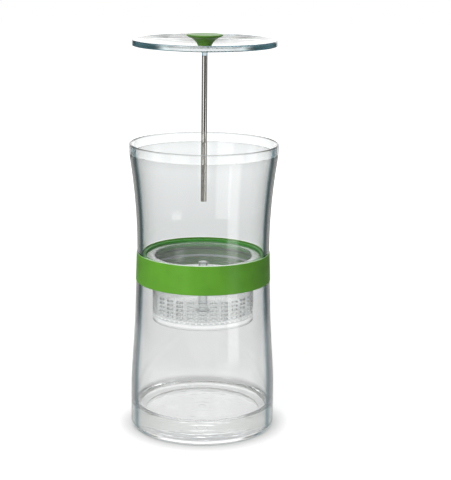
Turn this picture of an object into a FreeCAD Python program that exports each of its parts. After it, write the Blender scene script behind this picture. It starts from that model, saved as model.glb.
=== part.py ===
"""Herb keeper: a clear two-part vessel with a green waist band, a perforated herb basket
and a dished lid that carries a knob above and a steel lifting tube below.

Millimetres, +Z up. The origin is the centre of the flat base, on the table. Every piece is
round about Z, and the lid is drawn raised above the rim, as when the herbs are served.
"""
import FreeCAD, Part
import math
import os
import re

import Sketcher

Vector = FreeCAD.Vector

# Driving dimensions: alias, value, what it measures. All lengths in mm, counts plain.
SIZES = [
    ("base_radius", 55.0, "reservoir: outside at the base"),
    ("foot_step", 3.2, "reservoir: height of the bevelled foot"),
    ("foot_inset", 0.8, "reservoir: how far the bevel comes in above its rounding"),
    ("foot_rounding", 1.4, "reservoir: rounding under the bevel"),
    ("foot_ring_width", 9.0, "reservoir: flat ring that stands on the table"),
    ("foot_recess", 1.2, "reservoir: hollow under the base"),
    ("gate_radius", 3.0, "reservoir: moulding gate in the hollow"),
    ("gate_depth", 0.6, "reservoir: depth of the gate"),
    ("floor_height", 17.0, "reservoir: inner floor above the table"),
    ("floor_fillet", 5.0, "reservoir: fillet round the inner floor"),
    ("side_straight", 24.0, "reservoir: height of the straight side"),
    ("side_bend", 52.5, "reservoir: height where the side turns from round to hollow"),
    ("side_bend_inset", 1.07, "reservoir: how far the side has come in there"),
    ("wall", 3.7, "clear walls of both vessels"),
    ("neck_step_height", 114.5, "reservoir: step where the neck starts, bottom of the band"),
    ("neck_step_spread", 0.8, "reservoir: outside under the band, beyond the waist"),
    ("neck_height", 13.0, "reservoir: neck above its step"),
    ("neck_wall", 3.85, "reservoir: wall of the neck"),
    ("neck_lead", 0.6, "reservoir and upper vessel: lead-in chamfers of the push fit"),
    ("neck_slope", 2.5, "reservoir: height of the cone from the wall to the neck's bore"),
    ("band_height", 21.7, "band: height"),
    ("band_recess", 1.0, "band: how deep it is let into the waist"),
    ("band_top_proud", 0.5, "band: how far its top stands out from the waist"),
    ("band_bottom_proud", 0.35, "band: how far its bottom stands out from the step"),
    ("band_rounding", 0.4, "band: rounding of its outer edges"),
    ("band_neck_gap", 0.05, "band on the neck, each side"),
    ("band_slide_gap", 0.2, "band round the upper vessel, each side and above"),
    ("spigot_gap", 0.1, "spigot in the neck, each side"),
    ("spigot_length", 9.5, "upper vessel: spigot below the web"),
    ("spigot_wall", 2.6, "upper vessel: wall of the spigot"),
    ("web_height", 3.0, "upper vessel: web that sits on the neck"),
    ("seal_section", 1.5, "joint seal: thickness of the ring"),
    ("seal_groove_width", 2.2, "upper vessel: groove of the joint seal"),
    ("seal_groove_rise", 3.7, "upper vessel: groove above the end of the spigot"),
    ("seal_gap", 0.03, "joint seal: clearance in its groove and in the neck"),
    ("waist_radius", 50.0, "upper vessel: outside at the waist"),
    ("waist_rise", 3.6, "upper vessel: straight waist above the band"),
    ("flare_spread", 5.0, "upper vessel: how far the flare comes out from the waist"),
    ("flare_rise", 66.0, "upper vessel: height of the flare"),
    ("rim_spread", 1.0, "upper vessel: how far the rim comes out from the flare"),
    ("rim_rise", 13.0, "upper vessel: height of the rim above the flare"),
    ("rim_wall", 2.0, "upper vessel: wall beside the lid"),
    ("rim_rounding", 0.9, "upper vessel: rounding of the lip"),
    ("ledge_depth", 7.3, "upper vessel: lid ledge below the rim"),
    ("ledge_width", 1.9, "upper vessel: width of the lid ledge"),
    ("seat_height", 5.0, "seat ring: height"),
    ("seat_gap", 0.1, "seat ring in the upper vessel, each side"),
    ("seat_shelf", 1.8, "seat ring: thickness of the shelf under the basket"),
    ("seat_wall", 2.6, "seat ring: wall round the basket flange"),
    ("seat_shelf_width", 1.9, "seat ring: how far the shelf reaches under the flange"),
    ("seat_rounding", 0.5, "seat ring: rounding of the upper lip"),
    ("flange_gap", 0.3, "basket flange in the seat ring, each side"),
    ("flange_height", 1.8, "basket: thickness of the flange"),
    ("flange_rounding", 0.6, "basket: rounding of the flange"),
    ("cup_clearance", 3.9, "basket: cup in the spigot, each side"),
    ("cup_wall", 2.0, "basket: wall of the cup"),
    ("cup_drop", 49.6, "basket: whole height, top of the flange to the skirt"),
    ("skirt_height", 3.5, "basket: skirt below the floor"),
    ("cup_floor", 1.8, "basket: thickness of the floor"),
    ("cup_rounding", 1.2, "basket: rounding of the inner lip"),
    ("hole_radius", 1.1, "basket: holes of the floor"),
    ("hole_pitch", 4.0, "basket: distance between rings of holes"),
    ("hole_first_ring", 2, "basket: first ring of holes, in pitches from the centre"),
    ("hole_border", 2.0, "basket: least plain floor between the last ring and the wall"),
    ("hole_sectors", 6, "basket: equal sectors of the floor, one more hole in each ring out"),
    ("slot_length", 4.6, "basket: length of the wall slots"),
    ("slot_height", 1.3, "basket: height of the wall slots"),
    ("slot_pitch", 3.0, "basket: rise from one slot to the next"),
    ("slot_lift", 3.0, "basket: first slot above the floor"),
    ("slot_rows", 5, "basket: slots one above the other"),
    ("slot_columns", 28, "basket: columns of slots round the wall"),
    ("hub_radius", 3.75, "hub: outside of the tube"),
    ("hub_height", 38.2, "hub: height above the basket floor"),
    ("hub_foot_radius", 5.5, "hub: outside of the foot"),
    ("hub_foot_height", 1.2, "hub: thickness of the foot"),
    ("hub_pin_radius", 3.0, "hub: pin through the basket floor"),
    ("hub_fit", 0.02, "hub pin in the basket floor, each side"),
    ("hub_lead", 0.7, "hub: lead-in chamfer of the bore"),
    ("hub_solid", 4.7, "hub: solid foot of the tube, below its bore"),
    ("tube_radius", 2.15, "lifting tube: outside"),
    ("tube_wall", 0.4, "lifting tube: wall"),
    ("tube_gap", 0.1, "lifting tube in the hub, each side"),
    ("tube_rest_gap", 0.7, "lifting tube above the end of the hub's bore, lid closed"),
    ("tube_plug_length", 4.0, "tube plug: length"),
    ("tube_plug_fit", 0.02, "plug and lid pin in the tube, each side"),
    ("lid_gap", 0.2, "lid in the rim, each side"),
    ("lid_edge", 4.3, "lid: thickness of the edge"),
    ("lid_rounding", 0.8, "lid: rounding of the edge"),
    ("lid_lip", 2.3, "lid: width of the flat lip round the dish"),
    ("lid_dish", 5.1, "lid: depth of the dish at the centre"),
    ("lid_centre", 2.8, "lid: thickness at the centre"),
    ("lid_lift", 79.8, "lid: height drawn above its ledge"),
    ("stub_drop", 7.8, "lid: stub below the edge, where the tube begins"),
    ("stub_fillet", 0.8, "lid: fillet of the stub"),
    ("pin_length", 8.0, "lid: pin inside the tube"),
    ("post_radius", 2.5, "lid: post inside the knob"),
    ("post_height", 5.6, "lid: post above the dish"),
    ("post_fit", 0.02, "knob on the post, each side"),
    ("knob_rise", 8.0, "knob: top above the lid's lower face"),
    ("knob_seat_gap", 0.05, "knob above the dish"),
    ("knob_neck_radius", 4.85, "knob: outside of the neck"),
    ("knob_lip", 1.3, "knob: rim beyond the hollow of the neck"),
    ("knob_flare_drop", 1.75, "knob: height where that hollow ends, below the top"),
    ("knob_hollow", 11.1, "knob: radius of the hollow of the neck"),
    ("knob_radius", 13.6, "knob: outside of the rim"),
    ("knob_rounding", 0.7, "knob: rounding of the upper edge"),
]


def arc_from_upright(inset, rise):
    """Radius, as an expression, of an arc that starts upright and moves in by inset over rise."""
    return f"(({inset})^2 + ({rise})^2) / (2 * ({inset}))"


# Places worked out from the driving dimensions, each an expression in their names.
PLACES = {
    "gate_top": "foot_recess + gate_depth",
    "ring_radius": "base_radius - foot_inset - foot_rounding - foot_ring_width",
    "side_bend_radius": "base_radius - side_bend_inset",
    "neck_top": "neck_step_height + neck_height",
    "neck_step_radius": "waist_radius + neck_step_spread",
    "band_bore_radius": "waist_radius - band_recess",
    "band_top_radius": "waist_radius + band_top_proud",
    "band_bottom_radius": "neck_step_radius + band_bottom_proud",
    "neck_radius": "band_bore_radius - band_neck_gap",
    "neck_bore": "neck_radius - neck_wall",
    "spigot_radius": "neck_bore - spigot_gap",
    "neck_bore_start": "neck_step_height + neck_slope",
    "band_top": "neck_step_height + band_height",
    "recess_radius": "band_bore_radius - band_slide_gap",
    "recess_top": "band_top + band_slide_gap",
    "waist_height": "recess_top + waist_rise",
    "waist_bore": "waist_radius - wall",
    "flare_radius": "waist_radius + flare_spread",
    "flare_height": "waist_height + flare_rise",
    "flare_bore": "flare_radius - wall",
    "rim_radius": "flare_radius + rim_spread",
    "rim_height": "flare_height + rim_rise",
    "ledge_level": "neck_top + web_height",
    "spigot_end": "neck_top - spigot_length",
    "spigot_bore": "spigot_radius - spigot_wall",
    "groove_bottom": "spigot_end + seal_groove_rise",
    "groove_top": "groove_bottom + seal_groove_width",
    "groove_radius": "neck_bore - seal_section - 3 * seal_gap",
    "seal_middle": "neck_bore - seal_gap - seal_section / 2",
    "recess_bore": "rim_radius - rim_wall",
    "lid_ledge": "rim_height - ledge_depth",
    "ledge_bore": "recess_bore - ledge_width",
    "seat_radius": "waist_bore - seat_gap",
    "seat_top": "ledge_level + seat_height",
    "shelf_top": "ledge_level + seat_shelf",
    "seat_bore": "seat_radius - seat_wall",
    "flange_radius": "seat_bore - flange_gap",
    "seat_shelf_radius": "flange_radius - seat_shelf_width",
    "flange_top": "shelf_top + flange_height",
    "cup_radius": "spigot_bore - cup_clearance",
    "skirt_bottom": "flange_top - cup_drop",
    "cup_bore": "cup_radius - cup_wall",
    "floor_bottom": "skirt_bottom + skirt_height",
    "floor_top": "floor_bottom + cup_floor",
    "lid_bottom": "lid_ledge + lid_lift",
    "lid_radius": "recess_bore - lid_gap",
    "lid_top": "lid_bottom + lid_edge",
    "lip_radius": "lid_radius - lid_lip",
    "dish_level": "lid_top - lid_dish",
    "dish_under": "dish_level - lid_centre",
    "stub_bottom": "lid_bottom - stub_drop",
    "tube_bore": "tube_radius - tube_wall",
    "plug_radius": "tube_bore - tube_plug_fit",
    "hub_top": "floor_top + hub_height",
    "hub_bore": "tube_radius + tube_gap",
    "hub_bore_end": "floor_top + hub_solid",
    "tube_end": "hub_bore_end + tube_rest_gap + lid_lift",
    "hole_last_ring": "(cup_bore - hole_border - hole_radius) / hole_pitch",
    "post_top": "dish_level + post_height",
    "knob_flare_radius": "knob_radius - knob_lip",
    "knob_top": "lid_bottom + knob_rise",
    "knob_bottom": "dish_level + knob_seat_gap",
    "knob_bore": "post_radius + post_fit",
    "flare_hollow": arc_from_upright("flare_spread", "flare_rise"),
    "side_round": arc_from_upright("side_bend_inset", "side_bend - side_straight"),
}

STRAIGHT = ("straight",)
ONWARD = ("onward",)
HOLE_MARGIN = 1.0      # how far a slot's section starts outside the wall it cuts
SAME_PLACE = 1e-4      # two edges closer than this are one
COPY_MARGIN = 0.01     # how far the copies of a cut may stray from the first, in cuts


def formula(text):
    """Write a text of size and place names as an expression on the sheet of sizes."""
    aliases = {alias for alias, _, _ in SIZES}

    def worked_out(match):
        word = match.group()
        if word in PLACES:
            return "(" + formula(PLACES[word]) + ")"
        return "Sizes." + word if word in aliases else word

    return re.sub(r"[a-z][a-z_]+", worked_out, text)


def value(text):
    """The number that a text of size and place names stands for, in mm."""
    return float(sheet.evalExpression(formula(text)))


def count(text):
    """The whole number of copies or rings that fit."""
    return math.floor(value(text) + SAME_PLACE)


def new_body(name):
    body = doc.addObject("PartDesign::Body", name)
    body.Label = name
    return body


def new_sketch(body, name, plane_role, offset=None):
    """A sketch on one of the body's own origin planes, moved along its normal by offset."""
    sketch = body.newObject("Sketcher::SketchObject", name)
    plane = next(item for item in body.Origin.OriginFeatures if item.Role == plane_role)
    sketch.AttachmentSupport = [(plane, "")]
    sketch.MapMode = "FlatFace"
    if offset:
        sketch.setExpression(".AttachmentOffset.Base.z", formula(offset))
    return sketch


def pin_point(sketch, geometry, point, name, across, up):
    """Hold one point of the sketch at two bound distances from the origin."""
    for kind, axis, text in (("DistanceX", -2, across), ("DistanceY", -1, up)):
        if text == "0":
            sketch.addConstraint(Sketcher.Constraint("PointOnObject", geometry, point, axis))
            continue
        index = sketch.addConstraint(
            Sketcher.Constraint(kind, -1, 1, geometry, point, value(text)))
        label = name + kind[-1]
        sketch.renameConstraint(index, label)
        sketch.setExpression("Constraints." + label, formula(text))


def hold_radius(sketch, geometry, name, text):
    index = sketch.addConstraint(Sketcher.Constraint("Radius", geometry, value(text)))
    sketch.renameConstraint(index, name)
    sketch.setExpression("Constraints." + name, formula(text))


def arc_centre(start, end, radius, turn):
    """Centre of the shorter arc from start to end: turn 1 bends left, -1 bends right."""
    chord = end - start
    height = math.sqrt(max(radius ** 2 - chord.Length ** 2 / 4, 0.0))
    left = Vector(-chord.y, chord.x, 0).normalize()
    return (start + end) / 2 + left * (height * turn)


def draw_arc(sketch, start, end, centre, turn):
    """Add the arc and return its geometry with the numbers of its start and end points."""
    radius = (start - centre).Length
    angles = [math.atan2(p.y - centre.y, p.x - centre.x) for p in (start, end)]
    first, last = angles if turn > 0 else reversed(angles)
    circle = Part.Circle(centre, Vector(0, 0, 1), radius)
    geometry = sketch.addGeometry(Part.ArcOfCircle(circle, first, last))
    return (geometry, 1, 2) if turn > 0 else (geometry, 2, 1)


def draw_outline(sketch, corners):
    """Draw a closed outline. A corner is its name, its two distances from the origin and the
    edge that leaves it: straight, an arc of a radius, an arc that carries on the direction of
    the edge before it, or an arc centred on the upright axis."""
    points = [Vector(value(across), value(up), 0) for _, across, up, _ in corners]
    drawn = []
    heading = None
    for number, (name, across, up, edge) in enumerate(corners):
        start, end = points[number], points[(number + 1) % len(points)]
        kind = edge[0]
        if kind == "straight":
            geometry = sketch.addGeometry(Part.LineSegment(start, end))
            ends = (geometry, 1, 2)
            heading = (end - start).normalize()
        else:
            if kind == "radius":
                turn = edge[2]
                centre = arc_centre(start, end, value(edge[1]), turn)
            elif kind == "onward":
                side = Vector(-heading.y, heading.x, 0)
                chord = end - start
                reach = chord.dot(chord) / (2 * side.dot(chord))
                centre = start + side * reach
                turn = 1 if reach > 0 else -1
            else:
                turn = edge[1]
                middle = (end.x ** 2 - start.x ** 2 + end.y ** 2 - start.y ** 2)
                centre = Vector(0, middle / (2 * (end.y - start.y)), 0)
            ends = draw_arc(sketch, start, end, centre, turn)
            spoke = (end - centre).normalize()
            heading = Vector(-spoke.y, spoke.x, 0) * turn
        drawn.append(ends)
        pin_point(sketch, ends[0], ends[1], name, across, up)
    for number, (name, _, _, edge) in enumerate(corners):
        geometry, first, _ = drawn[number]
        before, _, last = drawn[number - 1]
        joined = "Tangent" if edge[0] == "onward" else "Coincident"
        sketch.addConstraint(Sketcher.Constraint(joined, before, last, geometry, first))
        if edge[0] == "radius":
            hold_radius(sketch, geometry, name + "Arc", edge[1])
        elif edge[0] == "centred":
            sketch.addConstraint(Sketcher.Constraint("PointOnObject", geometry, 3, -2))


def turn(body, kind, sketch, angle=None):
    """Turn a section about Z, as a Revolution that adds or a Groove that takes away.

    With an angle in degrees, it turns half of it to each side.
    """
    turned = body.newObject("PartDesign::" + kind, sketch.Label + "_turned")
    turned.Profile = sketch
    turned.ReferenceAxis = (sketch, ["V_Axis"])
    if angle:
        turned.Midplane = True
        turned.setExpression("Angle", formula(angle))
    else:
        turned.Angle = 360.0
    sketch.Visibility = False
    doc.recompute()
    return turned


def turned_body(name, corners):
    """A body turned about Z from half of its section, drawn as radius and height."""
    body = new_body(name)
    sketch = new_sketch(body, name + "_section", "XZ_Plane")
    draw_outline(sketch, corners)
    turn(body, "Revolution", sketch)
    return body


def round_edges(body, name, rings, radius):
    """Fillet the round edges that lie at the given radii and heights."""
    wanted = [(value(across), value(up)) for across, up in rings]
    edges = []
    for number, edge in enumerate(body.Tip.Shape.Edges, start=1):
        if not isinstance(edge.Curve, Part.Circle):
            continue
        place = (edge.Curve.Radius, edge.Curve.Center.z)
        if any(math.dist(place, ring) < SAME_PLACE for ring in wanted):
            edges.append(f"Edge{number}")
    if len(edges) < len(wanted):
        raise RuntimeError(f"{name}: found {len(edges)} of {len(wanted)} edges")
    base = body.Tip
    fillet = body.newObject("PartDesign::Fillet", name)
    fillet.Base = (base, edges)
    fillet.setExpression("Radius", formula(radius))
    doc.recompute()
    return fillet


def pocket(body, sketch, depth):
    """Cut the sketch down to a depth."""
    cut = body.newObject("PartDesign::Pocket", sketch.Label + "_cut")
    cut.Profile = sketch
    cut.setExpression("Length", formula(depth))
    sketch.Visibility = False
    doc.recompute()
    return cut


def repeat_round(body, cut, copies):
    """Repeat a cut round Z, and check that each copy took as much as the first."""
    taken = cut.BaseFeature.Shape.Volume - cut.Shape.Volume
    pattern = body.newObject("PartDesign::PolarPattern", cut.Label + "_round")
    pattern.Originals = [cut]
    axis = next(item for item in body.Origin.OriginFeatures if item.Role == "Z_Axis")
    pattern.Axis = (axis, [""])
    pattern.Angle = 360.0
    pattern.Occurrences = copies
    body.Tip = pattern
    doc.recompute()
    all_taken = cut.BaseFeature.Shape.Volume - pattern.Shape.Volume
    if taken <= 0 or abs(all_taken / taken - copies) > COPY_MARGIN:
        raise RuntimeError(f"{cut.Label}: {copies} copies took {all_taken:.2f} mm3")


def reservoir():
    """Clear lower vessel: thick base, tapering side, and the neck that the rest plugs into."""
    corners = [
        ("gateTop", "0", "gate_top", STRAIGHT),
        ("gateEdge", "gate_radius", "gate_top", STRAIGHT),
        ("gateFoot", "gate_radius", "foot_recess", STRAIGHT),
        ("hollowEdge", "ring_radius", "foot_recess", STRAIGHT),
        ("ringInside", "ring_radius", "0", STRAIGHT),
        ("ringOutside", "base_radius - foot_inset - foot_rounding", "0",
         ("radius", "foot_rounding", 1)),
        ("bevelFoot", "base_radius - foot_inset", "foot_rounding", STRAIGHT),
        ("bevelTop", "base_radius", "foot_step", STRAIGHT),
        ("sideStart", "base_radius", "side_straight", ("radius", "side_round", 1)),
        ("sideBend", "side_bend_radius", "side_bend", ONWARD),
        ("stepOutside", "neck_step_radius", "neck_step_height", STRAIGHT),
        ("neckFoot", "neck_radius", "neck_step_height", STRAIGHT),
        ("neckTop", "neck_radius", "neck_top", STRAIGHT),
        ("neckCentre", "0", "neck_top", STRAIGHT),
    ]
    body = turned_body("reservoir", corners)
    solid_volume = body.Shape.Volume
    inside = new_sketch(body, "reservoir_inside", "XZ_Plane")
    draw_outline(inside, [
        ("floorCentre", "0", "floor_height", STRAIGHT),
        ("filletFoot", "base_radius - wall - floor_fillet", "floor_height",
         ("radius", "floor_fillet", 1)),
        ("filletTop", "base_radius - wall", "floor_height + floor_fillet", STRAIGHT),
        ("sideStart", "base_radius - wall", "side_straight", ("radius", "side_round", 1)),
        ("sideBend", "side_bend_radius - wall", "side_bend", ONWARD),
        ("coneFoot", "neck_step_radius - wall", "neck_step_height", STRAIGHT),
        ("coneTop", "neck_bore", "neck_bore_start", STRAIGHT),
        ("neckBore", "neck_bore", "neck_top - neck_lead", STRAIGHT),
        ("neckLead", "neck_bore + neck_lead", "neck_top", STRAIGHT),
        ("mouthCentre", "0", "neck_top", STRAIGHT),
    ])
    turn(body, "Groove", inside)
    if body.Shape.Volume >= solid_volume:
        raise RuntimeError("reservoir: nothing was hollowed")
    return body


def grip_band():
    """Green silicone band round the joint at the waist."""
    corners = [
        ("bottomInside", "band_bore_radius", "neck_step_height", STRAIGHT),
        ("bottomOutside", "band_bottom_radius", "neck_step_height", STRAIGHT),
        ("topOutside", "band_top_radius", "band_top", STRAIGHT),
        ("topInside", "band_bore_radius", "band_top", STRAIGHT),
    ]
    body = turned_body("grip_band", corners)
    rings = [("band_bottom_radius", "neck_step_height"), ("band_top_radius", "band_top")]
    round_edges(body, "band_edges", rings, "band_rounding")
    return body


def upper_vessel():
    """Clear upper vessel: flared wall, lid ledge, basket ledge and the spigot below."""
    corners = [
        ("spigotInside", "spigot_bore", "spigot_end", STRAIGHT),
        ("spigotLead", "spigot_radius - neck_lead", "spigot_end", STRAIGHT),
        ("spigotOutside", "spigot_radius", "spigot_end + neck_lead", STRAIGHT),
        ("grooveBottom", "spigot_radius", "groove_bottom", STRAIGHT),
        ("grooveFloorLow", "groove_radius", "groove_bottom", STRAIGHT),
        ("grooveFloorHigh", "groove_radius", "groove_top", STRAIGHT),
        ("grooveTop", "spigot_radius", "groove_top", STRAIGHT),
        ("spigotRoot", "spigot_radius", "neck_top", STRAIGHT),
        ("webOutside", "recess_radius", "neck_top", STRAIGHT),
        ("recessTop", "recess_radius", "recess_top", STRAIGHT),
        ("waistFoot", "waist_radius", "recess_top", STRAIGHT),
        ("waistTop", "waist_radius", "waist_height", ("radius", "flare_hollow", -1)),
        ("flareTop", "flare_radius", "flare_height", ONWARD),
        ("rimOutside", "rim_radius", "rim_height", STRAIGHT),
        ("rimInside", "recess_bore", "rim_height", STRAIGHT),
        ("ledgeOutside", "recess_bore", "lid_ledge", STRAIGHT),
        ("ledgeInside", "ledge_bore", "lid_ledge", STRAIGHT),
        ("innerFlare", "flare_bore", "flare_height", ("radius", "flare_hollow", 1)),
        ("innerWaist", "waist_bore", "waist_height", STRAIGHT),
        ("seatCorner", "waist_bore", "ledge_level", STRAIGHT),
        ("seatEdge", "spigot_bore", "ledge_level", STRAIGHT),
    ]
    body = turned_body("upper_vessel", corners)
    rings = [("rim_radius", "rim_height"), ("recess_bore", "rim_height")]
    round_edges(body, "lip_edges", rings, "rim_rounding")
    return body


def joint_seal():
    """Silicone ring in the groove of the spigot."""
    body = new_body("joint_seal")
    sketch = new_sketch(body, "joint_seal_section", "XZ_Plane")
    middle = ("seal_middle", "groove_bottom + seal_groove_width / 2")
    centre = Vector(value(middle[0]), value(middle[1]), 0)
    radius = value("seal_section / 2")
    ring = sketch.addGeometry(Part.Circle(centre, Vector(0, 0, 1), radius))
    pin_point(sketch, ring, 3, "sealMiddle", *middle)
    hold_radius(sketch, ring, "sealRadius", "seal_section / 2")
    turn(body, "Revolution", sketch)
    return body


def seat_ring():
    """Green silicone ring inside the waist, with the shelf that the basket hangs on."""
    corners = [
        ("bottomInside", "seat_shelf_radius", "ledge_level", STRAIGHT),
        ("bottomOutside", "seat_radius", "ledge_level", STRAIGHT),
        ("topOutside", "seat_radius", "seat_top", STRAIGHT),
        ("topInside", "seat_bore", "seat_top", STRAIGHT),
        ("shelfCorner", "seat_bore", "shelf_top", STRAIGHT),
        ("shelfEdge", "seat_shelf_radius", "shelf_top", STRAIGHT),
    ]
    body = turned_body("seat_ring", corners)
    rings = [("seat_radius", "seat_top"), ("seat_bore", "seat_top")]
    round_edges(body, "seat_edges", rings, "seat_rounding")
    return body


def draw_slot(sketch, name, middle):
    """Draw the section of one slot, from inside the cup's wall to outside it."""
    inner, outer = f"cup_bore - {HOLE_MARGIN}", f"cup_radius + {HOLE_MARGIN}"
    draw_outline(sketch, [
        (name + "InnerLow", inner, f"{middle} - slot_height / 2", STRAIGHT),
        (name + "OuterLow", outer, f"{middle} - slot_height / 2", STRAIGHT),
        (name + "OuterHigh", outer, f"{middle} + slot_height / 2", STRAIGHT),
        (name + "InnerHigh", inner, f"{middle} + slot_height / 2", STRAIGHT),
    ])


def draw_hole_sector(sketch, sectors):
    """Draw one sector's holes: ring number n has n of them, spread over the sector."""
    first = None
    for ring in range(count("hole_first_ring"), count("hole_last_ring") + 1):
        for step in range(ring):
            turn = f"{step} * 360 / ({sectors} * {ring}) * 1 deg"
            across = f"{ring} * hole_pitch * cos({turn})"
            up = f"{ring} * hole_pitch * sin({turn})" if step else "0"
            place = Vector(value(across), value(up), 0)
            hole = sketch.addGeometry(Part.Circle(place, Vector(0, 0, 1), value("hole_radius")))
            pin_point(sketch, hole, 3, f"ring{ring}hole{step}", across, up)
            if first is None:
                first = hole
                hold_radius(sketch, hole, "holeRadius", "hole_radius")
            else:
                sketch.addConstraint(Sketcher.Constraint("Equal", first, hole))


def basket():
    """Clear cup that hangs by its flange, with a perforated floor and slots in its wall."""
    corners = [
        ("skirtInside", "cup_bore", "skirt_bottom", STRAIGHT),
        ("skirtOutside", "cup_radius", "skirt_bottom", STRAIGHT),
        ("flangeRoot", "cup_radius", "shelf_top", STRAIGHT),
        ("flangeUnder", "flange_radius", "shelf_top", STRAIGHT),
        ("flangeTop", "flange_radius", "flange_top", STRAIGHT),
        ("lipTop", "cup_bore", "flange_top", STRAIGHT),
        ("floorCorner", "cup_bore", "floor_top", STRAIGHT),
        ("hubTop", "hub_pin_radius + hub_fit", "floor_top", STRAIGHT),
        ("hubBottom", "hub_pin_radius + hub_fit", "floor_bottom", STRAIGHT),
        ("skirtCorner", "cup_bore", "floor_bottom", STRAIGHT),
    ]
    body = turned_body("basket", corners)
    round_edges(body, "flange_edges", [("flange_radius", "flange_top")], "flange_rounding")
    round_edges(body, "lip_edge", [("cup_bore", "flange_top")], "cup_rounding")
    holes = new_sketch(body, "floor_holes", "XY_Plane", "floor_top")
    sectors = count("hole_sectors")
    draw_hole_sector(holes, sectors)
    repeat_round(body, pocket(body, holes, "cup_floor"), sectors)
    slots = new_sketch(body, "slots", "XZ_Plane")
    for row in range(count("slot_rows")):
        draw_slot(slots, f"row{row}", f"floor_top + slot_lift + {row} * slot_pitch")
    column = turn(body, "Groove", slots, "slot_length / cup_radius * 180 / pi")
    repeat_round(body, column, count("slot_columns"))
    return body


def hub():
    """Clear socket that stands on the basket floor and takes the end of the lifting tube."""
    corners = [
        ("pinCentre", "0", "floor_bottom", STRAIGHT),
        ("pinEdge", "hub_pin_radius", "floor_bottom", STRAIGHT),
        ("pinRoot", "hub_pin_radius", "floor_top", STRAIGHT),
        ("footUnder", "hub_foot_radius", "floor_top", STRAIGHT),
        ("footTop", "hub_foot_radius", "floor_top + hub_foot_height", STRAIGHT),
        ("tubeRoot", "hub_radius", "floor_top + hub_foot_height", STRAIGHT),
        ("tubeTop", "hub_radius", "hub_top", STRAIGHT),
        ("boreLead", "hub_bore + hub_lead", "hub_top", STRAIGHT),
        ("boreTop", "hub_bore", "hub_top - hub_lead", STRAIGHT),
        ("boreFoot", "hub_bore", "hub_bore_end", STRAIGHT),
        ("boreCentre", "0", "hub_bore_end", STRAIGHT),
    ]
    return turned_body("hub", corners)


def lid():
    """Clear dished lid with a post for the knob above and a stub and pin for the tube below."""
    corners = [
        ("pinCentre", "0", "stub_bottom - pin_length", STRAIGHT),
        ("pinEdge", "plug_radius", "stub_bottom - pin_length", STRAIGHT),
        ("pinRoot", "plug_radius", "stub_bottom", STRAIGHT),
        ("stubEdge", "tube_radius", "stub_bottom", STRAIGHT),
        ("stubRoot", "tube_radius", "dish_under", ("centred", 1)),
        ("dishUnder", "lip_radius", "lid_bottom", STRAIGHT),
        ("edgeBottom", "lid_radius", "lid_bottom", STRAIGHT),
        ("edgeTop", "lid_radius", "lid_top", STRAIGHT),
        ("lipInside", "lip_radius", "lid_top", ("centred", -1)),
        ("postRoot", "post_radius", "dish_level", STRAIGHT),
        ("postEdge", "post_radius", "post_top", STRAIGHT),
        ("postCentre", "0", "post_top", STRAIGHT),
    ]
    body = turned_body("lid", corners)
    rings = [("lid_radius", "lid_bottom"), ("lid_radius", "lid_top")]
    round_edges(body, "lid_edges", rings, "lid_rounding")
    round_edges(body, "stub_root", [("tube_radius", "dish_under")], "stub_fillet")
    return body


def knob():
    """Green flared knob pressed on the lid's post."""
    corners = [
        ("boreEdge", "knob_bore", "knob_bottom", STRAIGHT),
        ("neck", "knob_neck_radius", "knob_bottom", ("radius", "knob_hollow", -1)),
        ("flare", "knob_flare_radius", "knob_top - knob_flare_drop", STRAIGHT),
        ("rim", "knob_radius", "knob_top - knob_rounding", ("radius", "knob_rounding", 1)),
        ("topEdge", "knob_radius - knob_rounding", "knob_top", STRAIGHT),
        ("topCentre", "0", "knob_top", STRAIGHT),
        ("boreCentre", "0", "post_top + post_fit", STRAIGHT),
        ("boreTop", "knob_bore", "post_top + post_fit", STRAIGHT),
    ]
    return turned_body("knob", corners)


def lift_tube():
    """Stainless tube that lifts the basket and keeps the herbs apart."""
    corners = [
        ("endInside", "tube_bore", "tube_end", STRAIGHT),
        ("endOutside", "tube_radius", "tube_end", STRAIGHT),
        ("topOutside", "tube_radius", "stub_bottom", STRAIGHT),
        ("topInside", "tube_bore", "stub_bottom", STRAIGHT),
    ]
    return turned_body("lift_tube", corners)


def tube_plug():
    """Plug that closes the lower end of the tube."""
    corners = [
        ("endCentre", "0", "tube_end", STRAIGHT),
        ("endEdge", "plug_radius", "tube_end", STRAIGHT),
        ("topEdge", "plug_radius", "tube_end + tube_plug_length", STRAIGHT),
        ("topCentre", "0", "tube_end + tube_plug_length", STRAIGHT),
    ]
    return turned_body("tube_plug", corners)


def check_and_write(bodies):
    """Stop on any failed feature or bad solid, then write one file for each piece."""
    doc.recompute()
    for item in doc.Objects:
        if "Invalid" in item.State or "Error" in item.State:
            raise RuntimeError(f"{item.Label} failed: {item.State}")
    for body in bodies:
        shape = body.Shape
        if shape.isNull() or not shape.isValid() or len(shape.Solids) != 1:
            raise RuntimeError(f"{body.Label}: not one valid solid")
    os.makedirs("parts", exist_ok=True)
    for body in bodies:
        body.Shape.exportStep(f"parts/{body.Label}.step")
        box = body.Shape.optimalBoundingBox(False)
        print(f"{body.Label:13s} {body.Shape.Volume / 1000:8.2f} cm3,"
              f" z {box.ZMin:7.2f} to {box.ZMax:7.2f}, radius {box.XMax:6.2f}")


doc = FreeCAD.newDocument("herb_keeper")
sheet = doc.addObject("Spreadsheet::Sheet", "Sizes")
for row, (alias, size, meaning) in enumerate(SIZES, start=1):
    sheet.set(f"A{row}", meaning)
    sheet.set(f"B{row}", str(size))
    sheet.setAlias(f"B{row}", alias)
doc.recompute()

PIECES = [reservoir, grip_band, upper_vessel, joint_seal, seat_ring, basket, hub, lid, knob,
          lift_tube, tube_plug]
check_and_write([make() for make in PIECES])
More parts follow.
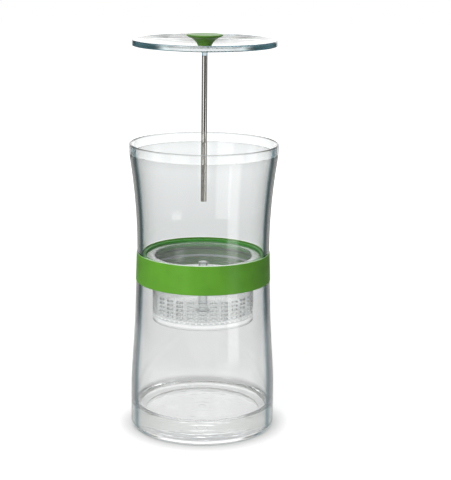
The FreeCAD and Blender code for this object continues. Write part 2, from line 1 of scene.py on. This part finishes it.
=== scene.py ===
# %% [markdown]
# # A clear herb keeper, dressed on its own solids
#
# The keeper is a tall, clear vessel in two halves with a green silicone band
# round the waist, a perforated basket inside, and a lid that lifts on a thin
# steel tube. The solids already have every true shape and size, so this
# lesson loads them first and then gives each one the finish that the real
# piece has. All lengths are metres, and +Z points up.

# %% Load the solids
import math

import bmesh
import bpy
from mathutils import Matrix, Vector

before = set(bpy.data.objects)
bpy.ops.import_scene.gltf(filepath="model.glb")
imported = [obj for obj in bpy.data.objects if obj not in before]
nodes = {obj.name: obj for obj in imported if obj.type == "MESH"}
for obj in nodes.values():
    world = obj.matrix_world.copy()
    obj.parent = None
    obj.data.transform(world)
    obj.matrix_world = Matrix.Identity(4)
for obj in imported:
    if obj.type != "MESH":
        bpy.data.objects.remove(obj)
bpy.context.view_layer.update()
MM = 0.001
print("pieces:", ", ".join(sorted(nodes)))

# %% [markdown]
# ## Four small helpers
#
# Every finish below is a small network of shader nodes. A colour is easiest
# to choose the way a paint program writes it, as sRGB hex, but a renderer
# adds and multiplies light, so the first helper gives it linear numbers. The
# second adds a node, sets it and links it, so that a finish reads as a short
# list.

# %% Helpers: a colour and a node
WHITE = (1, 1, 1, 1)


def linear(hex_colour):
    """The linear colour, with alpha, of an sRGB hex value such as "#68af3a"."""
    parts = [int(hex_colour[i:i + 2], 16) / 255 for i in (1, 3, 5)]
    parts = [p / 12.92 if p <= 0.04045 else ((p + 0.055) / 1.055) ** 2.4 for p in parts]
    return (*parts, 1.0)


def add_node(tree, kind, inputs=None, **settings):
    """Add a node, apply its settings, and set or link its inputs.

    A node given as an input means its first output.
    """
    node = tree.nodes.new("ShaderNode" + kind)
    for name, setting in settings.items():
        setattr(node, name, setting)
    for name, given in (inputs or {}).items():
        if isinstance(given, bpy.types.Node):
            given = given.outputs[0]
        if isinstance(given, bpy.types.NodeSocket):
            tree.links.new(given, node.inputs[name])
        else:
            node.inputs[name].default_value = given
    return node


print("silicone green in linear numbers:", [round(part, 3) for part in linear("#66a832")[:3]])

# %% [markdown]
# The other two start an empty material and put it all over a solid. A solid
# keeps its mesh as it is: only its list of materials changes.

# %% Helpers: a finish and its coat
def new_finish(name):
    """An empty material and its node tree."""
    finish = bpy.data.materials.new(name)
    finish.use_nodes = True
    finish.node_tree.nodes.clear()
    return finish, finish.node_tree


def coat(node_name, finish):
    """Put one finish all over a solid."""
    mesh = nodes[node_name].data
    mesh.materials.clear()
    mesh.materials.append(finish)
    print(node_name, "wears", finish.name)


# %% [markdown]
# ## The camera
#
# The keeper is seen from about a metre away and a little above the rim, with
# a long lens, so that its rings are shallow ellipses and its sides hardly
# converge. The lens is written as the length that gives 1436 pixels of focal
# length on a picture 480 pixels high, which is how a measured camera is
# usually known.

# %% Camera
FOCAL_PIXELS = 1435.86
PICTURE_HEIGHT = 480
CAMERA_PLACE = (0.01678, -1.0604, 0.3890)
CAMERA_DOWN = 12.97
CAMERA_ROLL = 0.617

lens_data = bpy.data.cameras.new("studio_camera")
lens_data.sensor_width = 36.0
lens_data.lens = FOCAL_PIXELS / PICTURE_HEIGHT * lens_data.sensor_width
camera = bpy.data.objects.new("studio_camera", lens_data)
camera.location = CAMERA_PLACE
tilt = Matrix.Rotation(math.radians(90 - CAMERA_DOWN), 4, "X")
roll = Matrix.Rotation(math.radians(CAMERA_ROLL), 4, "Z")
camera.rotation_euler = (tilt @ roll).to_euler()

scene = bpy.context.scene
scene.collection.objects.link(camera)
scene.camera = camera
scene.view_settings.view_transform = "Standard"
print("lens in mm:", round(lens_data.lens, 1))

# %% [markdown]
# ## Enough bounces for a stack of clear walls
#
# A ray that looks down into the basket goes through the upper vessel, the
# basket, the spigot and the neck, and each wall has two faces. Blender stops
# a ray after twelve bounces and paints black there. So the limits are raised
# until the basket is as pale as real clear plastic.

# %% Bounces
scene.cycles.max_bounces = 36
scene.cycles.transmission_bounces = 32
scene.cycles.glossy_bounces = 16
scene.cycles.transparent_max_bounces = 32
print("walls that a ray may cross:", scene.cycles.transmission_bounces // 2)

# %% [markdown]
# ## The room, painted by direction
#
# Clear plastic has no colour of its own: it shows the room, bent or mirrored.
# A studio is therefore built round it, with a pale backdrop, a tall strip
# light, a soft box and dark flanks that draw the edges. Here the world is
# that studio. Each panel is a patch of sky, written as a direction, a size
# and a level of light, and a negative level is a dark card.
#
# Directions are two angles: the bearing, 0 towards the front and 90 to the
# right, and the height above the horizon. Two helpers turn them into light.

# %% Helpers: panels of light
def within(tree, angle, centre, half, soft):
    """1 where an angle is within half of the centre, 0 further off, in degrees."""
    off = add_node(tree, "Math", {0: angle, 1: centre}, operation="SUBTRACT")
    off = add_node(tree, "Math", {0: off, 1: 180.0, 2: -180.0}, operation="WRAP")
    off = add_node(tree, "Math", {0: off}, operation="ABSOLUTE")
    return add_node(tree, "MapRange",
                    {"Value": off, "From Min": half + soft, "From Max": half - soft},
                    interpolation_type="SMOOTHSTEP")


def add_panels(tree, bearing, height, level, panels):
    """The level of light with the light of every panel added to it."""
    for centre, half, side_soft, low, high, soft, strength in panels:
        patch = within(tree, height, (low + high) / 2, (high - low) / 2, soft)
        if half < 180:
            side = within(tree, bearing, centre, half, side_soft)
            patch = add_node(tree, "Math", {0: patch, 1: side}, operation="MULTIPLY")
        level = add_node(tree, "Math", {0: patch, 1: strength, 2: level},
                         operation="MULTIPLY_ADD")
    return level


# %% [markdown]
# Mirrored rays and rays that go straight through meet different sides of the
# studio, so there are two lists. The strip light and the soft box stand in
# front, where the walls mirror them. The window panes are small and high:
# they glint on the roundings of the rim and the base. The dark cards stand
# behind, where the walls bend the view to them.

# %% Panels of light and dark
# Bearing, half width and its softness; lowest, highest and their softness; level.
MIRRORED = [
    (54, 10, 2.5, -95, -7.8, 1.0, 1.7),      # tall strip light, front right, standing low
    (-36, 14, 3, -9.3, 45, 0.7, 1.5),        # soft box, front left
    (85, 50, 8, -9.3, 17, 0.7, 0.16),        # pale side walls
    (-85, 50, 8, -9.3, 17, 0.7, 0.16),
    (180, 25, 5, -6, 17.5, 1.5, 1.4),        # backdrop
    (180, 25, 5, -30, -6, 1.5, 0.3),         # its lower half, in shade
    (90, 10, 4, 0, 17.5, 1.5, 1.0),          # backdrops of the other three sides
    (-90, 10, 4, 0, 17.5, 1.5, 1.0),
    (0, 10, 4, 0, 17.5, 1.5, 1.0),
    (0, 180, 0, 17.5, 95, 1.5, 0.42),        # tent overhead, brighter towards the four sides
    (180, 22, 18, 17.5, 95, 1.5, 0.12),
    (90, 22, 18, 17.5, 95, 1.5, 0.18),
    (-90, 22, 18, 17.5, 95, 1.5, 0.18),
    (0, 22, 18, 17.5, 95, 1.5, 0.18),
    (38, 9, 1.5, 36, 58, 1.5, 3.0),          # two window panes
    (-52, 12, 1.5, 36, 58, 1.5, 3.0),
]
SEEN_THROUGH = [
    (138, 16, 5, -95, 95, 1, -0.35),         # dark cards beside the backdrop
    (-134, 16, 6, -95, 95, 1, -0.22),
    (0, 180, 0, -9.5, 15, 3.5, 0.36),        # the backdrop is brightest behind the lid
    (0, 180, 0, 46, 95, 16, -0.55),          # dim ceiling
]
print("panels:", len(MIRRORED), "mirrored,", len(SEEN_THROUGH), "seen through the walls")

# %% [markdown]
# Four kinds of ray ask the world for light, and Light Path tells them apart.
# The camera sees plain white. A ray that went straight through the plastic
# sees the paper backdrop. A mirrored ray sees the panels in the dusk of the
# room, and one that was also trapped inside a wall for a while sees a
# lighter dusk, since such walls pipe light. All the rest, which is the light
# on matt surfaces, gets one even level.

# %% World
BACKDROP_LEVEL = 0.82
BACKDROP_PAPER = "#fdffff"
EVEN_LEVEL = 0.24
DUSK = "#4d4d4a"
DUSK_PIPED = 2.2


def paint_room():
    world = bpy.data.worlds.new("studio_room")
    scene.world = world
    world.use_nodes = True
    tree = world.node_tree
    tree.nodes.clear()
    generated = add_node(tree, "TexCoord").outputs["Generated"]
    x, y, z = add_node(tree, "SeparateXYZ", {0: generated}).outputs
    forward = add_node(tree, "Math", {0: y, 1: -1.0}, operation="MULTIPLY")
    bearing = add_node(tree, "Math", {0: x, 1: forward}, operation="ARCTAN2")
    bearing = add_node(tree, "Math", {0: bearing}, operation="DEGREES")
    height = add_node(tree, "Math", {0: z}, operation="ARCSINE")
    height = add_node(tree, "Math", {0: height}, operation="DEGREES")
    path = add_node(tree, "LightPath")
    went_through = path.outputs["Is Transmission Ray"]

    even = add_node(tree, "Background", {"Color": WHITE, "Strength": EVEN_LEVEL})
    panels = add_panels(tree, bearing, height, 0.0, MIRRORED)
    panels = add_node(tree, "Background", {"Color": WHITE, "Strength": panels})
    piped = add_node(tree, "Math", {0: went_through, 1: DUSK_PIPED, 2: 1.0},
                     operation="MULTIPLY_ADD")
    dusk = add_node(tree, "Background", {"Color": linear(DUSK), "Strength": piped})
    mirrored = add_node(tree, "AddShader", {0: panels, 1: dusk})
    paper = add_panels(tree, bearing, height, BACKDROP_LEVEL, SEEN_THROUGH)
    paper = add_node(tree, "Background", {"Color": linear(BACKDROP_PAPER), "Strength": paper})
    white = add_node(tree, "Background", {"Color": WHITE, "Strength": 1.0})

    never_mirrored = add_node(tree, "Math", {0: path.outputs["Glossy Depth"], 1: 0.5},
                              operation="LESS_THAN")
    straight = add_node(tree, "Math", {0: never_mirrored, 1: went_through},
                        operation="MULTIPLY")
    seen = add_node(tree, "MixShader",
                    {0: path.outputs["Is Glossy Ray"], 1: even, 2: mirrored})
    seen = add_node(tree, "MixShader", {0: straight, 1: seen, 2: paper})
    seen = add_node(tree, "MixShader", {0: path.outputs["Is Camera Ray"], 1: seen, 2: white})
    add_node(tree, "OutputWorld", {"Surface": seen})
    return tree


room = paint_room()
print("world nodes:", len(room.nodes))

# %% [markdown]
# ## Two soft lamps
#
# A soft box from the front left models the band and the knob, and a paler one
# overhead lights their tops. They are hidden from mirrored and bent rays,
# because the panels above already stand for them there.

# %% Lamps
LAMPS_AIM = Vector((0, 0, 0.15))


def soft_box(name, place, width, height, power):
    data = bpy.data.lights.new(name, "AREA")
    data.shape = "RECTANGLE"
    data.size, data.size_y = width, height
    data.energy = power
    lamp = bpy.data.objects.new(name, data)
    lamp.location = place
    aim = LAMPS_AIM - Vector(place)
    lamp.rotation_euler = aim.to_track_quat("-Z", "Y").to_euler()
    lamp.visible_glossy = False
    lamp.visible_transmission = False
    scene.collection.objects.link(lamp)
    print(name, power, "W,", round(aim.length, 2), "m away")


soft_box("key_box", (-0.58, -1.10, 0.75), 0.7, 0.9, 12.8)
soft_box("top_box", (-0.1, 0.1, 1.4), 1.0, 1.0, 8)

# %% [markdown]
# ## The table
#
# The table is a plain white disc, far wider than the picture, and only a
# stage for the keeper. Its finish is made in three steps: what the camera
# sees of it, what the plastic shows of it, and how the two are joined.

# %% Table top
TABLE_RADIUS = 4.0


def lay_table():
    mesh = bpy.data.meshes.new("studio_floor")
    work = bmesh.new()
    bmesh.ops.create_circle(work, cap_ends=True, segments=96, radius=TABLE_RADIUS)
    work.to_mesh(mesh)
    work.free()
    table = bpy.data.objects.new("studio_floor", mesh)
    scene.collection.objects.link(table)
    finish, tree = new_finish("white_laminate_table")
    mesh.materials.append(finish)
    print("table", TABLE_RADIUS * 2, "m across, in", finish.name)
    return tree


tree = lay_table()
place = add_node(tree, "TexCoord").outputs["Object"]
reach = add_node(tree, "VectorMath", {0: place}, operation="LENGTH").outputs["Value"]
path = add_node(tree, "LightPath")

# %% [markdown]
# The camera sees a diffuse grey that takes the real shadow of the lamps,
# plus a glow that lifts it to nearly white. Ambient Occlusion dims the glow
# in the last 15 mm before the foot, a painted contact shadow that draws the
# soft dark rim that every object has where it touches a table. Further out
# the glow grows until the table and the white background are one.

# %% What the camera sees of the table
CONTACT_REACH = 15 * MM
CONTACT_DEPTH = 1.3
LAMINATE_UNDER_GLOW = "#c4c4c3"
GLOW_NEAR = 0.64
GLOW_FAR = 0.4
GLOW_GROWS_FROM, GLOW_GROWS_TO = 0.3, 0.8

# Painted contact shadow: the glow is dimmed close to the foot.
touch = add_node(tree, "AmbientOcclusion", {"Distance": CONTACT_REACH}, samples=16)
touch = add_node(tree, "Math", {0: touch.outputs["AO"], 1: CONTACT_DEPTH}, operation="POWER")
far = add_node(tree, "MapRange",
               {"Value": reach, "From Min": GLOW_GROWS_FROM, "From Max": GLOW_GROWS_TO,
                "To Max": GLOW_FAR},
               interpolation_type="SMOOTHSTEP")
glow = add_node(tree, "Math", {0: touch, 1: GLOW_NEAR, 2: far}, operation="MULTIPLY_ADD")
glow = add_node(tree, "Emission", {"Color": WHITE, "Strength": glow})
laminate = add_node(tree, "BsdfDiffuse", {"Color": linear(LAMINATE_UNDER_GLOW)})
camera_sees = add_node(tree, "AddShader", {0: laminate, 1: glow})
print("shadow at the foot:", round(CONTACT_REACH / MM), "mm wide")

# %% [markdown]
# Rays that come through the plastic see a pale grey sheet with a painted
# shadow on it, darker in a ring round the foot. Rays that were mirrored
# inside the thick base also find its two sides painted darker, as they would
# past the edge of a sheet of paper, and that keeps the base from glowing.
# The level never falls below a dark grey, so that the two painted shades
# don't add up to black.

# %% What the plastic shows of the table
SHEET_LEVEL = 0.82
RING_SHADE = -0.32
RING_INNER, RING_OUTER = 0.060, 0.110
FOOT_RADIUS = 0.0545
FLANK_SHADE = -0.5
FLANK_BEARING, FLANK_HALF, FLANK_SOFT = 76, 54, 5
DARKEST = 0.3

# Painted shadow: the sheet is darker in a ring round the foot.
ring = add_node(tree, "MapRange",
                {"Value": reach, "From Min": RING_OUTER, "From Max": RING_INNER,
                 "To Max": RING_SHADE},
                interpolation_type="SMOOTHSTEP")
outside = add_node(tree, "Math", {0: reach, 1: FOOT_RADIUS}, operation="GREATER_THAN")
level = add_node(tree, "Math", {0: ring, 1: outside, 2: SHEET_LEVEL}, operation="MULTIPLY_ADD")
# Painted darker flanks, seen only by rays that were trapped in the base.
x, y, z = add_node(tree, "SeparateXYZ", {0: place}).outputs
turn = add_node(tree, "Math", {0: x, 1: y}, operation="ARCTAN2")
turn = add_node(tree, "Math", {0: turn}, operation="ABSOLUTE")
turn = add_node(tree, "Math", {0: turn}, operation="DEGREES")
flank = within(tree, turn, FLANK_BEARING, FLANK_HALF, FLANK_SOFT)
flank = add_node(tree, "Math", {0: flank, 1: FLANK_SHADE}, operation="MULTIPLY")
trapped = add_node(tree, "Math", {0: path.outputs["Glossy Depth"], 1: 0.5},
                   operation="GREATER_THAN")
level = add_node(tree, "Math", {0: flank, 1: trapped, 2: level}, operation="MULTIPLY_ADD")
level = add_node(tree, "Math", {0: level, 1: DARKEST}, operation="MAXIMUM")
plastic_shows = add_node(tree, "Emission", {"Color": WHITE, "Strength": level})
print("sheet level:", SHEET_LEVEL, "down to", DARKEST)

# %% [markdown]
# Light Path joins the two. Every other ray, such as the light that the band
# throws on the table, meets plain white laminate. Beyond 0.4 m from the
# keeper all rays but the camera's pass the table and see the room.

# %% The table's finish
LAMINATE = "#f4f4f3"
SHEET_END, ROOM_START = 0.30, 0.42

plain = add_node(tree, "BsdfDiffuse", {"Color": linear(LAMINATE)})
seen = add_node(tree, "MixShader",
                {0: path.outputs["Is Transmission Ray"], 1: plain, 2: plastic_shows})
edge = add_node(tree, "MapRange",
                {"Value": reach, "From Min": SHEET_END, "From Max": ROOM_START},
                interpolation_type="SMOOTHSTEP")
room_beyond = add_node(tree, "BsdfTransparent")
seen = add_node(tree, "MixShader", {0: edge, 1: seen, 2: room_beyond})
seen = add_node(tree, "MixShader", {0: path.outputs["Is Camera Ray"], 1: seen, 2: camera_sees})
add_node(tree, "OutputMaterial", {"Surface": seen})
print("table nodes:", len(tree.nodes))

# %% [markdown]
# ## Clear acrylic for the two vessels
#
# The vessels are injection-moulded acrylic, about 3.7 mm thick. Its look
# comes from three things. The index of refraction, 1.49, bends the view and
# mirrors the strip light. Where the wall turns away from the eye, the light
# has to travel along inside it and comes out a dark grey-teal. And the melt
# leaves slow waves in the surface, a hundredth of a millimetre deep.
#
# The second of these needs dark things round the keeper that a pale studio
# doesn't have, so the dark edge is painted shade: Layer Weight says how far a
# face turns away, and a ramp paints each angle its colour. Only faces that
# look away from the axis take the ramp, because floors and inner walls don't
# go dark like that.

# %% Helper: the painted dark edge of a turned-away wall
PAINTED_WALL_EDGE = [
    (0.00, (1.00, 1.00, 1.00)), (0.30, (0.99, 0.99, 0.99)), (0.50, (0.84, 0.86, 0.86)),
    (0.56, (0.60, 0.64, 0.65)), (0.58, (0.36, 0.43, 0.45)), (0.61, (0.09, 0.17, 0.21)),
    (0.67, (0.09, 0.17, 0.21)), (0.71, (0.30, 0.36, 0.38)), (0.77, (0.45, 0.50, 0.51)),
    (1.00, (0.36, 0.41, 0.42))]
CLEAR_TINT = "#fcfdfd"


def across(tree, place):
    """A place without its height: an arrow from the axis."""
    return add_node(tree, "VectorMath", {0: place, 1: (1, 1, 0)}, operation="MULTIPLY")


def painted_edge_colour(tree, place, stops, from_axis):
    """Painted dark edges: the ramp's colours where outer walls turn away, and a clear tint
    elsewhere.
    """
    normal = add_node(tree, "NewGeometry").outputs["Normal"]
    outward = add_node(tree, "VectorMath", {0: across(tree, place), 1: normal},
                       operation="DOT_PRODUCT")
    outward = add_node(tree, "Math", {0: outward.outputs["Value"], 1: from_axis},
                       operation="GREATER_THAN")
    facing = add_node(tree, "LayerWeight", {"Blend": 0.5}).outputs["Facing"]
    ramp = add_node(tree, "ValToRGB", {0: facing})
    bar = ramp.color_ramp.elements
    while len(bar) < len(stops):
        bar.new(1.0)
    for element, (spot, colour) in zip(bar, stops):
        element.position = spot
        element.color = (*colour, 1)
    mixed = add_node(tree, "Mix", {0: outward}, data_type="RGBA")
    mixed.inputs[6].default_value = linear(CLEAR_TINT)
    tree.links.new(ramp.outputs[0], mixed.inputs[7])
    return mixed.outputs[2]


print("darkest at facing:", min(PAINTED_WALL_EDGE, key=lambda stop: sum(stop[1]))[0])

# %% [markdown]
# The waves are a broad noise on the bump. It reads Object coordinates, so
# that its size is true. The tint is a Volume Absorption, because thick
# plastic is darker than thin. Lamps go straight through a clear wall: a
# Transparent shader takes the shadow rays, and the pieces inside are lit.

# %% Clear acrylic
ACRYLIC_INDEX = 1.49
ACRYLIC_TEAL = "#cbe1e4"
LAMPLIGHT_LEFT = "#f3f5f5"
WAVE_LENGTH = 14 * MM
WAVE_DEPTH = 0.012 * MM


def clear_plastic(name, stops, density, roughness=0.0, wave_length=WAVE_LENGTH,
                  wave_depth=WAVE_DEPTH, from_axis=12 * MM, clear=1.0):
    """Moulded clear plastic. The density is how much teal a metre of it adds."""
    finish, tree = new_finish(name)
    place = add_node(tree, "TexCoord").outputs["Object"]
    waves = add_node(tree, "TexNoise",
                     {"Vector": place, "Scale": 1 / wave_length, "Detail": 1.0})
    bump = add_node(tree, "Bump", {"Height": waves, "Distance": wave_depth, "Strength": 1.0})
    shell = add_node(tree, "BsdfPrincipled", {
        "Base Color": painted_edge_colour(tree, place, stops, from_axis), "Roughness": roughness,
        "IOR": ACRYLIC_INDEX, "Transmission Weight": clear, "Normal": bump})
    lamps = add_node(tree, "BsdfTransparent", {"Color": linear(LAMPLIGHT_LEFT)})
    shadow = add_node(tree, "LightPath").outputs["Is Shadow Ray"]
    surface = add_node(tree, "MixShader", {0: shadow, 1: shell, 2: lamps})
    teal = add_node(tree, "VolumeAbsorption", {"Color": linear(ACRYLIC_TEAL), "Density": density})
    add_node(tree, "OutputMaterial", {"Surface": surface, "Volume": teal})
    return finish, tree, place, shell


acrylic, *_ = clear_plastic("clear_acrylic", PAINTED_WALL_EDGE, 2.0)
coat("upper_vessel", acrylic)

# %% [markdown]
# The lower vessel is the same acrylic with two marks of its own. Its base is
# so thick that it shrank in rings as it cooled, which leaves shallow ripples
# round its bottom and up its side, seen as pale streaks. A noise that is
# read at the distance from the axis makes the rings, some of the height in
# it carries them up the side, and a little of X and Y breaks them up. The
# tint is weaker than above, since a look through the base is a look through
# a hundred millimetres of plastic.

# %% Lower vessel: ripples round the base
RING_WIDTH = 8 * MM
RING_BREAK = 18 * MM
SIDE_SHARE = 0.6
RIPPLE_DEPTH = 0.3 * MM
RIPPLE_BOTTOM, RIPPLE_TOP = 1 * MM, 16 * MM

base_acrylic, tree, place, shell = clear_plastic("clear_acrylic_thick_base", PAINTED_WALL_EDGE, 1.2)
height = add_node(tree, "SeparateXYZ", {0: place}).outputs["Z"]
level = across(tree, place)
reach = add_node(tree, "VectorMath", {0: level}, operation="LENGTH").outputs["Value"]
broken = add_node(tree, "VectorMath", {0: level, 1: (1 / RING_BREAK, 1 / RING_BREAK, 0)},
                  operation="MULTIPLY")
climb = add_node(tree, "Math", {0: height, 1: SIDE_SHARE, 2: reach}, operation="MULTIPLY_ADD")
outwards = add_node(tree, "Math", {0: climb, 1: 1 / RING_WIDTH}, operation="MULTIPLY")
outwards = add_node(tree, "CombineXYZ", {"Z": outwards})
rings = add_node(tree, "VectorMath", {0: broken, 1: outwards}, operation="ADD")
ripples = add_node(tree, "TexNoise", {"Vector": rings, "Scale": 1.0, "Detail": 2.0})
low = add_node(tree, "MapRange",
               {"Value": height, "From Min": RIPPLE_TOP, "From Max": RIPPLE_BOTTOM})
ripples = add_node(tree, "Math", {0: ripples, 1: low}, operation="MULTIPLY")
waves = shell.inputs["Normal"].links[0].from_socket
rippled = add_node(tree, "Bump", {"Height": ripples, "Distance": RIPPLE_DEPTH,
                                  "Strength": 1.0, "Normal": waves})
tree.links.new(rippled.outputs[0], shell.inputs["Normal"])
coat("reservoir", base_acrylic)

# %% [markdown]
# The foot ring slides over tables, and it is scuffed to a frost. The frost
# is roughness alone: it starts at the table and fades out in 0.7 mm, and a
# fine noise makes it patchy. Real scratches are finer than 0.9 mm, which is
# as fine as shows.

# %% Lower vessel: scuffed foot
SCUFF_HEIGHT = 0.7 * MM
SCRATCH_WIDTH = 0.9 * MM

foot = add_node(tree, "MapRange",
                {"Value": height, "From Min": SCUFF_HEIGHT, "From Max": 0.0})
scratches = add_node(tree, "TexNoise",
                     {"Vector": place, "Scale": 1 / SCRATCH_WIDTH, "Detail": 3.0})
scuffed = add_node(tree, "Math", {0: foot, 1: scratches}, operation="MULTIPLY")
tree.links.new(scuffed.outputs[0], shell.inputs["Roughness"])
print("scuffed up to", round(SCUFF_HEIGHT / MM, 1), "mm")

# %% [markdown]
# ## The basket and its hub
#
# The basket is clear as well, but it is a thin moulding full of slots that
# is washed often, and it never looks as glassy as the vessels. Three
# settings give that. A roughness of 0.14 blurs what is behind it, a twelfth
# of it is milky instead of clear, and a lower index bends the view less at
# each of the many slot walls.

# %% Basket and hub: washed acrylic
# A faint ramp paints the turned-away walls a little darker, as painted shade.
PAINTED_WASHED_EDGE = [(0.0, (1, 1, 1)), (1.0, (0.9, 0.92, 0.92))]
WASHED_INDEX = 1.32

washed, tree, place, shell = clear_plastic(
    "clear_washed_acrylic", PAINTED_WASHED_EDGE, 2.0, roughness=0.14,
    wave_length=12 * MM, wave_depth=0.004 * MM, clear=0.92)
shell.inputs["IOR"].default_value = WASHED_INDEX
coat("basket", washed)
coat("hub", washed)

# %% [markdown]
# The plate that closes the cup pipes light to its rim, which shows as a pale
# ring. A faint emission paints that light on as a glow, only at the height
# of the plate and only on the outside of the cup.

# %% Basket: the painted glow on the rim of its plate
PLATE_HEIGHT = 88.4 * MM
PLATE_HALF = 2.2 * MM
CUP_OUTSIDE = 37.6 * MM
RIM_GLOW = 0.2

height = add_node(tree, "SeparateXYZ", {0: place}).outputs["Z"]
plate = add_node(tree, "Math", {0: height, 1: PLATE_HEIGHT, 2: PLATE_HALF},
                 operation="COMPARE")
reach = add_node(tree, "VectorMath", {0: across(tree, place)}, operation="LENGTH")
wall = add_node(tree, "Math", {0: reach.outputs["Value"], 1: CUP_OUTSIDE},
                operation="GREATER_THAN")
rim = add_node(tree, "Math", {0: plate, 1: wall}, operation="MULTIPLY")
rim = add_node(tree, "Math", {0: rim, 1: RIM_GLOW}, operation="MULTIPLY")
# Painted light: the rim glows, though it is no lamp.
shell.inputs["Emission Color"].default_value = WHITE
tree.links.new(rim.outputs[0], shell.inputs["Emission Strength"])
print("rim glow between", round((PLATE_HEIGHT - PLATE_HALF) / MM, 1), "and",
      round((PLATE_HEIGHT + PLATE_HALF) / MM, 1), "mm")

# %% [markdown]
# ## The lid
#
# The lid is one clear disc. Light that enters its edge crosses the whole
# width of the disc, so its ends look dark teal while its middle stays pale,
# and that dark teal is painted shade. Its ramp therefore starts much earlier
# than the one of the walls, and the waves in it are longer and shallower,
# since a disc is moulded flat.

# %% Lid
PAINTED_LID_EDGE = [
    (0.00, (0.38, 0.38, 0.39)), (0.04, (0.36, 0.37, 0.38)), (0.10, (0.25, 0.26, 0.27)),
    (0.17, (0.38, 0.46, 0.49)), (0.28, (0.03, 0.15, 0.22)), (1.00, (0.01, 0.10, 0.17))]

lid_acrylic, *_ = clear_plastic(
    "clear_acrylic_lid", PAINTED_LID_EDGE, 3.0,
    wave_length=22 * MM, wave_depth=0.002 * MM, from_axis=1 * MM)
coat("lid", lid_acrylic)

# %% [markdown]
# ## Silicone
#
# Silicone is satin, not glossy: its index is 1.41, and the mould that it is
# cast in is spark-eroded, which leaves a grain of about 0.1 mm. That is too
# fine to show from a metre away, so the grain here is 0.7 mm. The pigment is
# never mixed quite evenly, so two close greens take turns over centimetres.
# Handling gives the band a thin gloss, which half a coat draws: it mirrors
# the strip light as one pale, blurred streak.
#
# The seat ring that holds the basket and the plug in the tube are the same
# rubber without that gloss, and the seal in the joint is silicone without
# pigment. The knob is a harder moulding with a soft-touch skin, so its grain
# is finer and its flat top mirrors a little of the backdrop.

# %% Silicone and soft-touch pieces
SILICONE_INDEX = 1.41
CLOUD_SIZE = 18 * MM
SILICONE_GRAIN = 0.7 * MM
SOFT_TOUCH_GRAIN = 0.5 * MM
GRAIN_DEPTH = 0.012 * MM
SATIN_SPREAD = 0.06
GLOSS_ROUGHNESS = 0.24
GLOSS_INDEX = 1.45


def silicone(name, dark, light, roughness, specular, grain=SILICONE_GRAIN, gloss=0.0):
    """Moulded rubber in two close shades, with a fine grain and maybe a thin gloss."""
    finish, tree = new_finish(name)
    place = add_node(tree, "TexCoord").outputs["Object"]
    clouds = add_node(tree, "TexNoise",
                      {"Vector": place, "Scale": 1 / CLOUD_SIZE, "Detail": 3.0})
    pigment = add_node(tree, "ValToRGB", {0: clouds})
    dark_stop, light_stop = pigment.color_ramp.elements
    dark_stop.position, light_stop.position = 0.35, 0.65
    dark_stop.color, light_stop.color = linear(dark), linear(light)
    grains = add_node(tree, "TexNoise", {"Vector": place, "Scale": 1 / grain, "Detail": 2.0})
    satin = add_node(tree, "MapRange",
                     {"Value": grains, "To Min": roughness - SATIN_SPREAD,
                      "To Max": roughness + SATIN_SPREAD})
    bump = add_node(tree, "Bump", {"Height": grains, "Distance": GRAIN_DEPTH, "Strength": 0.6})
    skin = add_node(tree, "BsdfPrincipled", {
        "Base Color": pigment, "Roughness": satin, "IOR": SILICONE_INDEX,
        "Specular IOR Level": specular, "Coat Weight": gloss,
        "Coat Roughness": GLOSS_ROUGHNESS, "Coat IOR": GLOSS_INDEX, "Normal": bump})
    add_node(tree, "OutputMaterial", {"Surface": skin})
    return finish


coat("grip_band", silicone("moulded_green_silicone", "#5f9e2f", "#66a832", 0.5, 0.25, gloss=0.5))
coat("seat_ring", silicone("green_silicone_seat", "#3b8a2d", "#429633", 0.45, 0.4))
coat("joint_seal", silicone("moulded_clear_silicone", "#d3d7d7", "#dde1e1", 0.4, 0.4))
coat("tube_plug", silicone("green_silicone_plug", "#588f30", "#5f9835", 0.45, 0.4))
coat("knob", silicone("soft_touch_green", "#4f812a", "#588b30", 0.34, 0.38,
                      grain=SOFT_TOUCH_GRAIN))

# %% [markdown]
# ## The steel tube
#
# The tube is drawn stainless steel, polished afterwards. Drawing leaves fine
# lines along its length, so the noise is stretched forty times along Z, and
# it drives a little roughness and a very shallow bump. The lines are 0.3 mm
# apart, because truer ones would not show.

# %% Steel tube
STEEL_DARK, STEEL_LIGHT = "#d2cfc9", "#e2e0db"
LINE_WIDTH = 0.3 * MM
LINE_STRETCH = 40
LINE_DEPTH = 0.002 * MM


def drawn_steel(name):
    """Steel with fine lines along Z, as drawing and polishing leave it."""
    finish, tree = new_finish(name)
    place = add_node(tree, "TexCoord").outputs["Object"]
    scale = (1 / LINE_WIDTH, 1 / LINE_WIDTH, 1 / (LINE_WIDTH * LINE_STRETCH))
    along = add_node(tree, "Mapping", {"Vector": place, "Scale": scale})
    lines = add_node(tree, "TexNoise", {"Vector": along, "Scale": 1.0, "Detail": 2.0})
    polish = add_node(tree, "MapRange", {"Value": lines, "To Min": 0.05, "To Max": 0.15})
    bump = add_node(tree, "Bump", {"Height": lines, "Distance": LINE_DEPTH, "Strength": 1.0})
    tint = add_node(tree, "ValToRGB", {0: lines})
    tint.color_ramp.elements[0].color = linear(STEEL_DARK)
    tint.color_ramp.elements[1].color = linear(STEEL_LIGHT)
    skin = add_node(tree, "BsdfPrincipled", {
        "Base Color": tint, "Roughness": polish, "Metallic": 1.0, "Normal": bump})
    add_node(tree, "OutputMaterial", {"Surface": skin})
    return finish


coat("lift_tube", drawn_steel("polished_stainless_steel"))
